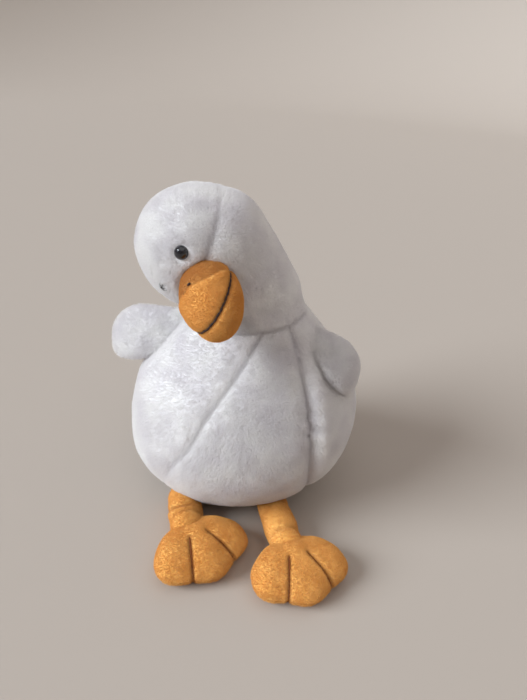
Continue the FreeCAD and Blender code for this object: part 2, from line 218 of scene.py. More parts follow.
# Rings are cut through the form along this line: middle, and how far the ring has turned to the head's axes.
TORSO_LINE = np.array(((0, 0, 5, 0), (-1, 0, 22, 0), (0.5, 0, 48, 0), (3, 0, 74, 0), (6, 0, 97, 0),
                       (6.5, 0, 111, 0), (6.2, 0, 121, 0), (5.4, 0, 129.5, 0.02),
                       (4.4, 0, 137.5, 0.06)), float)
NECK_LINE = np.array(((4.4, 0, 137.5, 0.06), (2, -1, 145, 0.36), (-2.5, -2.4, 152, 0.63),
                      (-8, -3.9, 159, 0.84), (-14, -5.5, 166.5, 1)), float)
UPRIGHT = Matrix(((0, 1, 0), (-1, 0, 0), (0, 0, 1)))
TURN = Matrix(np.array((FRONT, LEFT, UP)).T.tolist()) @ UPRIGHT.transposed()
TURN_AXIS, TURN_ANGLE = TURN.to_quaternion().to_axis_angle()


def ring_axes(share):
    """Front, left and up of the rings, for each share of the turn."""
    axis = vec(*TURN_AXIS)
    found = []
    for start in (vec(0, -1, 0), vec(1, 0, 0), vec(0, 0, 1)):
        a = TURN_ANGLE * share[:, None]
        along = axis * (start @ axis)
        found.append(start * np.cos(a) + np.cross(axis, start) * np.sin(a) + along * (1 - np.cos(a)))
    return found


def rings(middles, share, angles, gap=bird_gap, far=110):
    """Points of the form on rings: one row per middle, one column per angle from the front to the left."""
    front, left, _ = ring_axes(share)
    if angles.ndim == 1:
        angles = np.broadcast_to(angles, (len(middles), len(angles)))
    d = np.cos(angles)[..., None] * front[:, None] + np.sin(angles)[..., None] * left[:, None]
    return cast(gap, middles[:, None, :], d, far)


def along_line(line, rows):
    reach = np.concatenate(((0,), np.cumsum(np.linalg.norm(np.diff(line[:, :3], axis=0), axis=1))))
    found = smooth_between(np.linspace(0, reach[-1], rows), reach, line)
    return found[:, :3], found[:, 3]


# ---------------------------------------------------------------- meshes

def build(name, grids, material, marks=None, smooth=True):
    """One mesh from grids of points (rows, columns, 3), welded where they meet. marks are point values."""
    points, faces, count = [], [], 0
    for grid in grids:
        r, c = grid.shape[:2]
        index = np.arange(r * c).reshape(r, c) + count
        corners = (index[:-1, :-1], index[:-1, 1:], index[1:, 1:], index[1:, :-1])
        faces.append(np.stack(corners, -1).reshape(-1, 4))
        points.append(grid.reshape(-1, 3))
        count += r * c
    points, faces = np.concatenate(points), np.concatenate(faces)
    cells = np.round(points * 500).astype(np.int64)
    _, first, which = np.unique(cells, axis=0, return_index=True, return_inverse=True)
    which = which.reshape(-1)
    faces = which[faces]
    rows = []
    for face in faces.tolist():
        kept = [v for i, v in enumerate(face) if v != face[i - 1]]
        if len(set(kept)) == len(kept) >= 3:
            rows.append(kept)
    mesh = bpy.data.meshes.new(name)
    mesh.from_pydata((points[first] * MM).tolist(), [], rows)
    if smooth:
        mesh.shade_smooth()
    corners = np.array([v for row in rows for v in row])
    for mark, values in (marks or {}).items():
        flat = np.clip(values.reshape(-1)[first], 0, 1)
        if mark == "painted_shade":
            layer = mesh.color_attributes.new(mark, "BYTE_COLOR", "CORNER")
            grey = flat[corners]
            layer.data.foreach_set("color", np.stack((grey, grey, grey, grey * 0 + 1), -1).ravel())
        else:
            layer = mesh.attributes.new(mark, "FLOAT", "POINT")
            layer.data.foreach_set("value", flat.astype(np.float32))
    mesh.materials.append(material)
    obj = bpy.data.objects.new(name, mesh)
    bpy.context.scene.collection.objects.link(obj)
    return obj


def pile(obj, length, parents, children, thickness, seed, lie=(0, 0, 0), clump=0.1, rough=0.3, strands=None):
    """Short hair, rooted on the cloth. The mark "pile" sets its length."""
    group = obj.vertex_groups.new(name="pile")
    values = np.ones(len(obj.data.vertices), np.float32)
    layer = obj.data.attributes.get("pile")
    if layer:
        layer.data.foreach_get("value", values)
    levels = np.round(values * 20) / 20
    for level in np.unique(levels):
        group.add(np.nonzero(levels == level)[0].tolist(), float(level), "REPLACE")
    obj.modifiers.new("pile", "PARTICLE_SYSTEM")
    system = obj.particle_systems[-1]
    system.seed = seed
    system.vertex_group_length = "pile"
    s = system.settings
    s.type = "HAIR"
    s.count = parents
    s.hair_step = 3
    s.emit_from = "FACE"
    s.distribution = "RAND"
    s.use_advanced_hair = True
    s.normal_factor = length * MM / 4
    s.object_align_factor = [x * length * MM / 4 for x in lie]
    s.factor_random = 0.04 * length * MM / 4
    s.child_type = "INTERPOLATED"
    s.child_percent = 1
    s.rendered_child_count = children
    s.clump_factor = clump
    s.clump_shape = -0.3
    s.roughness_1 = 0.0
    s.roughness_2 = rough * length * MM
    s.roughness_2_size = 0.3
    s.roughness_endpoint = rough * length * MM
    s.root_radius = 1.0
    s.tip_radius = 0.5
    s.radius_scale = thickness * MM
    s.display_step = 2
    s.render_step = 3
    if strands:
        obj.data.materials.append(strands)
        s.material = 2
    return obj


# ---------------------------------------------------------------- materials

def fresh(name):
    material = bpy.data.materials.new(name)
    material.use_nodes = True
    tree = material.node_tree
    tree.nodes.clear()
    out = tree.nodes.new("ShaderNodeOutputMaterial")
    shader = tree.nodes.new("ShaderNodeBsdfPrincipled")
    tree.links.new(shader.outputs[0], out.inputs[0])
    return material, tree, shader


def add(tree, kind, **values):
    node = tree.nodes.new(kind)
    for key, value in values.items():
        if hasattr(node, key):
            setattr(node, key, value)
        else:
            node.inputs[key.replace("_", " ")].default_value = value
    return node


def mixed(tree, factor, a, b, blend="MIX"):
    node = tree.nodes.new("ShaderNodeMix")
    node.data_type, node.blend_type = "RGBA", blend
    for socket, value in ((node.inputs[0], factor), (node.inputs[6], a), (node.inputs[7], b)):
        if hasattr(value, "is_linked"):
            tree.links.new(value, socket)
        else:
            socket.default_value = value
    return node.outputs[2]


def srgb(r, g, b):
    """A colour given as it looks on a screen, 0 to 255."""
    c = [x / 255 for x in (r, g, b)]
    return tuple(x / 12.92 if x <= 0.04045 else ((x + 0.055) / 1.055) ** 2.4 for x in c) + (1,)


def cloth_material(name, light, dark, painted_shade_colour, lump, grain, sheen, roughness=0.9, relief=0.25, strands=False):
    """Pile cloth: patches of light and dark, a fine nap, and painted shade: a darker colour where a point
    mark says shade falls.
    """
    material, tree, shader = fresh(name)
    place = add(tree, "ShaderNodeTexCoord")
    patches = add(tree, "ShaderNodeTexNoise", Scale=1000 / lump, Detail=3.0, Roughness=0.55)
    nap = add(tree, "ShaderNodeTexNoise", Scale=1000 / grain, Detail=4.0, Roughness=0.7)
    for texture in (patches, nap):
        tree.links.new(place.outputs["Object"], texture.inputs["Vector"])
    spread = add(tree, "ShaderNodeMapRange")
    spread.inputs[1].default_value, spread.inputs[2].default_value = 0.35, 0.65
    tree.links.new(patches.outputs[0], spread.inputs[0])
    colour = mixed(tree, spread.outputs[0], dark, light)
    fleck = add(tree, "ShaderNodeMapRange")
    fleck.inputs[1].default_value, fleck.inputs[2].default_value = 0.3, 0.7
    fleck.inputs[3].default_value, fleck.inputs[4].default_value = 0.88, 1.04
    tree.links.new(nap.outputs[0], fleck.inputs[0])
    colour = mixed(tree, 1.0, colour, fleck.outputs[0], "MULTIPLY")
    # painted shade: the colour turns to the painted shade colour where the mark is low, in seams, creases and
    # folds
    painted_shade = add(tree, "ShaderNodeAttribute", attribute_name="painted_shade")
    colour = mixed(tree, painted_shade.outputs["Fac"], painted_shade_colour, colour)
    tree.links.new(colour, shader.inputs["Base Color"])
    if strands:
        glow = add(tree, "ShaderNodeBsdfTranslucent")
        tree.links.new(colour, glow.inputs["Color"])
        both = add(tree, "ShaderNodeMixShader")
        both.inputs[0].default_value = 0.5
        tree.links.new(shader.outputs[0], both.inputs[1])
        tree.links.new(glow.outputs[0], both.inputs[2])
        tree.links.new(both.outputs[0], tree.nodes["Material Output"].inputs[0])
    ripple = add(tree, "ShaderNodeBump", Strength=relief, Distance=0.0006)
    tree.links.new(nap.outputs[0], ripple.inputs["Height"])
    tree.links.new(ripple.outputs[0], shader.inputs["Normal"])
    shader.inputs["Roughness"].default_value = roughness
    shader.inputs["Specular IOR Level"].default_value = 0.25
    shader.inputs["Sheen Weight"].default_value = sheen
    shader.inputs["Sheen Roughness"].default_value = 0.45
    return material


def moulded_material(name, light, dark, grain, roughness, relief, coat=0.0):
    """Moulded plastic or thread: a slight mottle, and a roughness that wanders."""
    material, tree, shader = fresh(name)
    place = add(tree, "ShaderNodeTexCoord")
    mottle = add(tree, "ShaderNodeTexNoise", Scale=1000 / grain, Detail=3.0)
    tree.links.new(place.outputs["Object"], mottle.inputs["Vector"])
    tree.links.new(mixed(tree, mottle.outputs[0], dark, light), shader.inputs["Base Color"])
    wander = add(tree, "ShaderNodeMapRange")
    wander.inputs[3].default_value, wander.inputs[4].default_value = roughness * 0.8, roughness * 1.2
    tree.links.new(mottle.outputs[0], wander.inputs[0])
    tree.links.new(wander.outputs[0], shader.inputs["Roughness"])
    ripple = add(tree, "ShaderNodeBump", Strength=relief, Distance=0.0002)
    tree.links.new(mottle.outputs[0], ripple.inputs["Height"])
    tree.links.new(ripple.outputs[0], shader.inputs["Normal"])
    shader.inputs["Coat Weight"].default_value = coat
    shader.inputs["Coat Roughness"].default_value = 0.04
    return material


# The third colour of each cloth is its painted shade colour, for seams, creases and folds.
WHITE = cloth_material("white_plush_pile", srgb(250, 249, 249), srgb(240, 238, 239), srgb(196, 190, 194),
                       16, 0.9, 0.4)
WHITE_PILE = cloth_material("white_pile_strands", srgb(252, 251, 250), srgb(244, 242, 243),
                            srgb(200, 194, 198), 16, 0.9, 0.2, strands=True)
ORANGE = cloth_material("orange_fleece_nap", srgb(241, 186, 102), srgb(230, 168, 84), srgb(158, 90, 36),
                        13, 0.7, 0.3)
POUCH = cloth_material("pouch_calico", srgb(226, 214, 190), srgb(205, 192, 166), srgb(150, 135, 110),
                       9, 0.8, 0.1)
BLACK = moulded_material("eye_gloss", srgb(24, 25, 32), srgb(8, 8, 12), 3.0, 0.12, 0.02, coat=0.6)
CLEAR = moulded_material("washer_nylon", srgb(235, 235, 230), srgb(215, 215, 208), 2.0, 0.4, 0.05)
BEADS = moulded_material("pellet_plastic", srgb(232, 232, 226), srgb(180, 180, 176), 2.2, 0.45, 0.6)
BROWN_THREAD = moulded_material("brown_thread", srgb(60, 38, 30), srgb(30, 18, 16), 0.5, 0.8, 0.5)
ORANGE_THREAD = moulded_material("orange_thread", srgb(150, 84, 30), srgb(110, 56, 20), 0.5, 0.8, 0.5)
WHITE_THREAD = moulded_material("white_thread", srgb(225, 222, 220), srgb(190, 186, 186), 0.5, 0.8, 0.5)


# ---------------------------------------------------------------- skins of the body, neck and head

ROW_PITCH = 1.15


def lumps(p):
    """Uneven stuffing and clumps of pile, the same wherever two skins meet."""
    return 0.9 * noise(p, 27, 1) + 0.3 * noise(p, 9, 2) + 0.08 * noise(p, 3.2, 3)


def dressed(points, gap, grooves, extra=None):
    """Moves a skin's points out and in: valleys along its seams, lumps between. Gives points and marks.
    grooves are (distance to the seam, depth, width)."""
    flat = points.reshape(-1, 3)
    out = slope(gap, points)
    valley = np.zeros(points.shape[:2])
    nearest = np.full(points.shape[:2], 99.0)
    for distance, depth, width in grooves:
        valley = np.maximum(valley, depth * bump(distance, width))
        if depth > 0:
            nearest = np.minimum(nearest, distance)
    lift = lumps(flat).reshape(valley.shape) * step(nearest, 0, 6) - valley + 0.7 * step(nearest, 1, 14)
    if extra is not None:
        lift = lift + extra
    # painted shade: the cloth is darker along the seam valleys
    shade = 1 - 0.3 * np.maximum(0, valley / 2.0)
    length = 1 - 0.4 * np.clip(valley / 1.6, 0, 1)
    return points + out * lift[..., None], {"painted_shade": shade, "pile": length}


def spread(count, ease=0.55):
    """Shares from 0 to 1, closer together at both ends."""
    t = np.linspace(0, 1, count)
    return t - ease * np.sin(2 * math.pi * t) / (2 * math.pi)


torso_rows = int(150 / ROW_PITCH)
middles, shares = along_line(TORSO_LINE, torso_rows)
coarse = np.radians(np.arange(-100, 101, 1.0))
survey = rings(middles, shares, coarse)


def seam_angles(seam):
    """The angle at which each torso ring meets a belly seam."""
    wanted = smooth_between(survey[..., 2].ravel(), seam[:, 1], seam[:, 0]).reshape(survey.shape[:2])
    off = survey[..., 0] - wanted
    return np.array([np.interp(0, row, coarse) for row in off])


angle_right, angle_left = seam_angles(BELLY_RIGHT_SEAM), seam_angles(BELLY_LEFT_SEAM)
angle_back = math.pi - np.arctan2(3 - middles[:, 0], 60)


def torso_skin(name, angle_a, angle_b, columns, depths, extra=None):
    u = spread(columns)
    angles = angle_a[:, None] * (1 - u) + angle_b[:, None] * u
    p = rings(middles, shares, angles)
    edge_a = np.linalg.norm(p - p[:, :1], axis=2)
    edge_b = np.linalg.norm(p - p[:, -1:], axis=2)
    low = np.linalg.norm(p - p[:1], axis=2)
    top = np.linalg.norm(p - p[-1:], axis=2)
    grooves = [(edge_a, *depths[0]), (edge_b, *depths[1]), (low, 1.0, 2.2), (top, 0.8, 1.6)]
    more = extra(p, edge_a, edge_b) if extra else None
    points, marks = dressed(p, bird_gap, grooves, more)
    return build(name, [points], WHITE, marks)


def left_ridge(p, edge_a, edge_b):
    """The side's cloth swells beside the belly seam, and wrinkles where the seam pulls."""
    z = p[..., 2]
    window = step(z, 40, 62) * (1 - step(z, 104, 122))
    ridge = 2.3 * bump(edge_a - 7, 5) * window
    pull = bump(z - 78, 12) * bump(edge_a - 4, 6)
    return ridge + 0.7 * pull * np.sin(z / 1.5 + edge_a * 0.25)


def belly_pull(p, edge_a, edge_b):
    z = p[..., 2]
    pull = bump(z - 82, 12) * bump(edge_b - 4, 5)
    return -0.5 * bump(edge_b - 5, 5) * step(z, 30, 60) + 0.6 * pull * np.sin(z / 1.6 - edge_b * 0.3)


belly = torso_skin("belly_plush", angle_right, angle_left, 96, ((0.8, 1.5), (1.4, 2.8)), belly_pull)
side_left = torso_skin("side_plush_left", angle_left, angle_back, 176, ((1.4, 2.8), (1.0, 1.8)), left_ridge)
side_right = torso_skin("side_plush_right", angle_back - 2 * math.pi, angle_right, 176,
                        ((1.0, 1.8), (0.8, 1.5)))

neck_rows = 30
neck_middles, neck_shares = along_line(NECK_LINE, neck_rows)
THROAT_ROWS = 24
crown_tilts = np.linspace(math.asin(HEAD_SEAM / HEAD_RADIUS), math.pi / 2, 46)[1:]
head_rows = np.concatenate((np.linspace(NECK_LOW_CUT, HEAD_SEAM, THROAT_ROWS),
                            HEAD_RADIUS * np.sin(crown_tilts)))
cast_base = HEAD + np.array((-14, -5.5, 166.5)) - (HEAD + NECK_LOW_CUT * UP)
drift = (1 - step(head_rows, NECK_LOW_CUT, 4))[:, None] * (cast_base - HEAD)
head_middles = HEAD + head_rows[:, None] * UP + drift
head_middles -= ((head_middles - HEAD) @ UP - head_rows)[:, None] * UP
round_angles = np.radians(np.linspace(-180, 180, 221))


def ring_skin(name, mids, share, angles, low_groove, top_groove, closed_top=False):
    p = rings(mids, share, angles, upper_gap)
    if closed_top:
        p[-1] = HEAD + UP * (HEAD_RADIUS - PILE_SINK)
    low = np.linalg.norm(p - p[:1], axis=2)
    top = np.linalg.norm(p - p[-1:], axis=2)
    grooves = [(low, low_groove[0], low_groove[1])]
    if not closed_top:
        grooves.append((top, top_groove[0], top_groove[1]))
    points, marks = dressed(p, upper_gap, grooves)
    flat = points.reshape(-1, 3)
    bare = step(beak_gap(flat), -0.5, 3.0) * step(np.linalg.norm(flat - LEFT_EYE, axis=1), 3.4, 6.5)
    marks["pile"] = marks["pile"] * bare.reshape(low.shape)
    return build(name, [points], WHITE, marks)


neck_left = ring_skin("neck_plush_left", neck_middles, neck_shares, round_angles[110:], (0.8, 1.6), (0, 1))
neck_right = ring_skin("neck_plush_right", neck_middles, neck_shares, round_angles[:111], (0.8, 1.6), (0, 1))
ones = np.ones(len(head_rows))
throat = ring_skin("throat_plush", head_middles[:THROAT_ROWS], ones[:THROAT_ROWS], round_angles,
                   (0, 1), (0.65, 1.5))
crown = ring_skin("crown_plush", head_middles[THROAT_ROWS - 1:], ones[THROAT_ROWS - 1:], round_angles,
                  (0.65, 1.5), None, closed_top=True)

# base: from the seam round it down to the flat it sits on
base_angles = np.radians(np.linspace(-180, 180, 241))
drop = rings(middles[:1], shares[:1], base_angles)[0]
base_rows = []
for v in np.linspace(0, 1, 9):
    level = 5 + (0.3 - 5) * v
    outwards = np.stack((np.sin(base_angles), -np.cos(base_angles), base_angles * 0), -1)
    ring = cast(torso_gap, vec(0, 0, level), outwards, 90)
    base_rows.append(ring * (1 - 0.012 * v) if v else drop)
rim = base_rows[-1]
for v in np.linspace(0, 1, 26)[1:]:
    base_rows.append(np.stack((rim[:, 0] * (1 - v), rim[:, 1] * (1 - v), rim[:, 2] * (1 - v) + 0.3 * v), -1))
base_grid = np.array(base_rows)
base_out = np.zeros_like(base_grid)
fade = step(np.arange(len(base_rows)), 8, 11)[:, None]
seam_in = 1.2 * bump(np.linalg.norm(base_grid - base_grid[:1], axis=2), 2.5)
sideways = unit(base_grid * vec(1, 1, 0) + 1e-9)
base_grid = base_grid - sideways * (seam_in * (1 - fade))[..., None]
# painted shade: the base is darker in its seam's valley
base = build("base_plush", [base_grid[:, ::-1]], WHITE, {"painted_shade": (1 - 0.4 * seam_in / 1.2)[:, ::-1],
                                                         "pile": (1 - 0.5 * seam_in)[:, ::-1]})


# ---------------------------------------------------------------- globes: closed forms round a middle

def globe(gap, middle, pole, side, tilts, turns, far=60):
    """Points of a form seen from its middle: tilt from the pole in rows, turn about it in columns."""
    pole, side = unit(pole), unit(side)
    third = np.cross(pole, side)
    a, b = tilts[:, None, None], turns[None, :, None]
    d = np.cos(a) * pole + np.sin(a) * (np.cos(b) * side + np.sin(b) * third)
    return cast(gap, middle, d, far, 1.0)


# ---- tail
TAIL, TAIL_ALONG = vec(2, 66, 50), turned(vec(0, 1, 0), vec(1, 0, 0), 28)


def tail_gap(p):
    q = p - TAIL
    along = q @ TAIL_ALONG
    slim = 1.12 - 0.22 * np.clip(along / 20, -1, 1)
    across, over = q[:, 0] / slim, q @ np.cross(vec(1, 0, 0), TAIL_ALONG) / slim
    return (np.sqrt((along / 20) ** 2 + (across / 10) ** 2 + (over / 7) ** 2) - 1) * 7 + 0.6


tail_points = globe(tail_gap, TAIL, TAIL_ALONG, vec(1, 0, 0), np.linspace(0, math.pi, 60),
                    np.linspace(0, 2 * math.pi, 90))
tail_edge = np.abs(tail_points - TAIL) @ np.abs(np.cross(vec(1, 0, 0), TAIL_ALONG))
tail_dressed, tail_marks = dressed(tail_points, tail_gap, [(tail_edge, 0.8, 1.2)])
tail = build("tail_plush", [tail_dressed[:, ::-1]], WHITE, {k: v[:, ::-1] for k, v in tail_marks.items()})


# ---------------------------------------------------------------- beak

def beak_half(name, turns):
    """One half of the beak. A tuck runs over the top, and the cloth behind it lies lower, with painted shade
    on it.
    """
    tilts = np.linspace(0, math.radians(138), 92)
    p = globe(beak_gap, MOUTH, MOUTH_FRONT, BEAK_LEFT, tilts, turns, 60)
    flat = p.reshape(-1, 3)
    out = slope(beak_gap, p)
    above = np.abs((flat - MOUTH) @ MOUTH_UP).reshape(p.shape[:2])
    forward = ((flat - BEAK) @ BEAK_FRONT).reshape(p.shape[:2])
    high = ((flat - BEAK) @ BEAK_UP).reshape(p.shape[:2])
    tuck = forward + 5.2 * (1 - step(high, -2, 12))
    upper = step(high, -3, 4)
    band = (1 - step(tuck, -0.8, 0.6)) * upper
    crease = bump(tuck + 0.4, 0.9) * upper
    valley = 0.9 * bump(above, 1.4)
    soft = (0.35 * noise(flat, 9, 11) + 0.08 * noise(flat, 3, 12)).reshape(p.shape[:2])
    lift = soft * step(above, 0, 4) - valley - 0.7 * band - 0.35 * crease + 0.5 * step(above, 0, 7)
    lift = lift + 0.5 * bump(tuck - 2.5, 2.5) * upper
    # painted shade: darker along the mouth's valley, on the band behind the tuck and in its crease
    painted_shade = 1 - 0.45 * bump(above, 1.2) - 0.42 * band - 0.25 * crease
    return build(name, [(p + out * lift[..., None])[:, ::-1]], ORANGE, {"painted_shade": painted_shade[:, ::-1]})


beak_upper = beak_half("beak_fleece_upper", np.linspace(0, math.pi, 90))
beak_lower = beak_half("beak_fleece_lower", np.linspace(math.pi, 2 * math.pi, 90))


# ---------------------------------------------------------------- threads

def thread(name, lines, radius, stitch, material, normals=None):
    """Sewn thread along lines of points: a thin tube that dips at each stitch."""
    grids = []
    for line in lines:
        reach = np.concatenate(((0,), np.cumsum(np.linalg.norm(np.diff(line, axis=0), axis=1))))
        rows = max(12, int(reach[-1] / 0.3))
        at = np.linspace(0, reach[-1], rows)
        p = np.stack([np.interp(at, reach, line[:, k]) for k in range(3)], -1)
        ahead = unit(np.gradient(p, axis=0))
        side = unit(np.cross(ahead, vec(0.31, 0.22, 0.92)))
        over = np.cross(side, ahead)
        wave = np.abs(np.sin(at / stitch * math.pi)) ** 0.5
        size = radius * (0.55 + 0.45 * wave)
        size[0] = size[-1] = 0.0
        size[1] = size[-2] = size[1] * 0.7
        a = np.linspace(0, 2 * math.pi, 9)
        grids.append(p[:, None] + size[:, None, None] * (np.cos(a)[None, :, None] * side[:, None]
                                                         + np.sin(a)[None, :, None] * over[:, None]))
    return build(name, [g[:, ::-1] for g in grids], material)


mouth_tilts = np.radians(np.linspace(112, 0, 60))
near_side = globe(beak_gap, MOUTH, MOUTH_FRONT, BEAK_LEFT, mouth_tilts, np.array((0.0,)))[:, 0]
other_side = globe(beak_gap, MOUTH, MOUTH_FRONT, BEAK_LEFT, mouth_tilts[::-1], np.array((math.pi,)))[:, 0]
mouth_path = np.concatenate((near_side, other_side[1:]))
mouth_out = slope(beak_gap, mouth_path[:, None])[:, 0]
mouth_wave = 0.16 * np.sin(np.arange(len(mouth_path)) * 0.8)[:, None] * MOUTH_UP
mouth = thread("mouth_thread", [mouth_path - mouth_out * 0.35 + mouth_wave], 0.62, 3.1, BROWN_THREAD)
knots = []
for forward, aside in ((-2.2, 11), (0.3, -6)):
    out = turned(BEAK_UP, BEAK_FRONT, -aside)
    spot = cast(beak_gap, (BEAK + BEAK_FRONT * forward)[None], out[None], 40)[0]
    across = np.cross(out, BEAK_FRONT)
    knots.append(spot + out * 0.1 + np.linspace(-1.2, 1.2, 9)[:, None] * across
                 + (0.35 * (1 - np.linspace(-1, 1, 9) ** 2))[:, None] * out)
nostrils = thread("nostril_thread", knots, 0.6, 2.6, BROWN_THREAD)


# ---------------------------------------------------------------- wings

def wing(name, middle, span, chord, anchor, outward, reach, widths, depths):
    """A padded paddle on a bent line, sewn in along its narrow root. Gives its two halves."""
    span = unit(span)
    chord = unit(chord - span * (chord @ span))
    flat = np.cross(span, chord)
    flat = flat if flat @ outward > 0 else -flat
    tip = middle + reach * span
    bend = 2 * middle - (anchor + tip) / 2
    s = np.sin(np.linspace(0, math.pi / 2, 64))[:, None]
    line = anchor * (1 - s) ** 2 + 2 * s * (1 - s) * bend + tip * s * s
    t = s[:, 0]
    half_chord = (widths[0] + (widths[1] - widths[0]) * step(t, 0, 0.5)) * np.clip(1 - t ** 4.2, 0, 1) ** 0.5
    half_thick = (depths[0] + (depths[1] - depths[0]) * step(t, 0, 0.5)) * np.clip(1 - t ** 3.0, 0, 1) ** 0.5
    halves = []
    for part, low, high in (("outer", 0, math.pi), ("inner", math.pi, 2 * math.pi)):
        a = low + (high - low) * spread(70, 0.35)
        c, o = np.cos(a), np.sin(a)
        ring = half_chord[:, None, None] * c[None, :, None] * chord
        o = np.sign(o) * np.abs(o) ** 0.85
        ring = ring + half_thick[:, None, None] * o[None, :, None] * flat
        p = line[:, None] + ring
        rim = np.minimum(np.linalg.norm(p - p[:, :1], axis=2), np.linalg.norm(p - p[:, -1:], axis=2))
        rim = np.minimum(rim, np.linalg.norm(p - tip, axis=2))
        out = unit(np.cross(np.gradient(p, axis=1), np.gradient(p, axis=0)) + 1e-9)
        out = out if (out[20, 35] @ flat) * o[35] > 0 else -out
        edge_out = unit(p - line[:, None] + 1e-9)
        out = unit(np.where(rim[..., None] < 1.2, edge_out, out))
        flat_p = p.reshape(-1, 3)
        soft = 0.8 * noise(flat_p, 13, 21) + 0.35 * noise(flat_p, 5.5, 22) + 0.15 * noise(flat_p, 2.8, 23)
        lift = soft.reshape(rim.shape) * step(rim, 0, 4) - 0.8 * bump(rim, 1.4)
        p = p + out * lift[..., None]
        # painted shade: a little darker round the rim, where the wing meets the body
        obj = build("wing_plush_" + part + "_" + name, [p], WHITE,
                    {"painted_shade": 1 - 0.12 * bump(rim, 1.4), "pile": 1 - 0.3 * bump(rim, 1.5)})
        middle_normal = vec(*obj.data.polygons[len(obj.data.polygons) // 2].normal)
        if middle_normal @ flat * (1 if part == "outer" else -1) < 0:
            obj.data.flip_normals()
        halves.append(obj)
    return halves, anchor, line[26]


wing_right, wr_start, wr_end = wing("right", vec(-72.3, 15.5, 107), vec(-0.846, 0.14, -0.514),
                                    vec(-0.236, 0.766, 0.597), vec(-35, 8, 118), vec(-0.2, -1, 0.4), 21.5,
                                    (11.5, 19), (3.6, 5.8))
wing_left, wl_start, wl_end = wing("left", vec(57, -19.5, 111), vec(0.47, -0.10, -0.88),
                                   vec(0.54, 0.80, 0.12), vec(36.5, -12.5, 125), vec(1, -0.3, 0.2), 20.5,
                                   (10.5, 17.0), (3.4, 5.0))


# ---------------------------------------------------------------- legs and feet

LEG_RADII = {"right": 10.4, "left": 9.9}
TOE_REACH, TOE_RADII = 20.5, (18.4, 12.2, 10.6)
PAD_REACH, PAD_RADII = 19.5, (19.8, 25, 9.4)
HEEL_REACH, HEEL_RADIUS = 12, 10
TOE_FAN = 43.0


def leg(name, hip, ankle, fold_side):
    """A floppy tube, cut in two pieces: one on the hip's side, the other on the ankle's side."""
    radius = LEG_RADII[name]
    ahead = unit(ankle - hip)
    side = unit(np.cross(ahead, vec(0, 0, 1)))
    over = np.cross(side, ahead)
    length = np.linalg.norm(ankle - hip)
    cap = np.linspace(0, math.pi / 2, 12)
    start = -radius * np.cos(cap)
    at = np.concatenate((start, np.linspace(0, length, 44)[1:-1], length - start[::-1]))
    size = np.concatenate((np.sin(cap), np.ones(42), np.sin(cap)[::-1])) * (radius - 0.2)
    a = np.linspace(0, 2 * math.pi, 73)
    share = at / length
    centre = hip + at[:, None] * ahead - 0.6 * over * bump(share - 0.5, 0.3)[:, None]
    rim = np.cos(a)[None, :, None] * side + np.sin(a)[None, :, None] * over
    p = centre[:, None] + size[:, None, None] * rim
    flat = p.reshape(-1, 3)
    angle = np.broadcast_to(a, p.shape[:2])
    along = np.broadcast_to(at[:, None], p.shape[:2])
    facing = np.cos(angle - math.radians(90 - 35 * fold_side))
    fold = 1.5 * bump(along - 9 - 5 * np.sin(angle * fold_side), 1.6) * step(facing, 0.1, 0.9)
    fold = fold + 0.9 * bump(along - (length - 6), 1.8) * step(np.sin(angle), 0.0, 0.8)
    swell = 0.5 * bump(along - length * 0.55, 6)
    soft = (0.5 * noise(flat, 9, 31) + 0.15 * noise(flat, 3, 32)).reshape(fold.shape)
    p = p + rim * ((soft + swell - fold) * np.minimum(1, size / 5)[:, None])[..., None]
    # painted shade: darker in the folds
    painted_shade = 1 - 0.45 * np.clip(fold / 1.5, 0, 1)
    cut = 12 + 17
    upper = build("leg_fleece_upper_" + name, [p[:cut + 1, ::-1]], ORANGE, {"painted_shade": painted_shade[:cut + 1, ::-1]})
    lower = build("leg_fleece_lower_" + name, [p[cut:, ::-1]], ORANGE, {"painted_shade": painted_shade[cut:, ::-1]})
    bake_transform(upper)
    return upper, lower, ahead


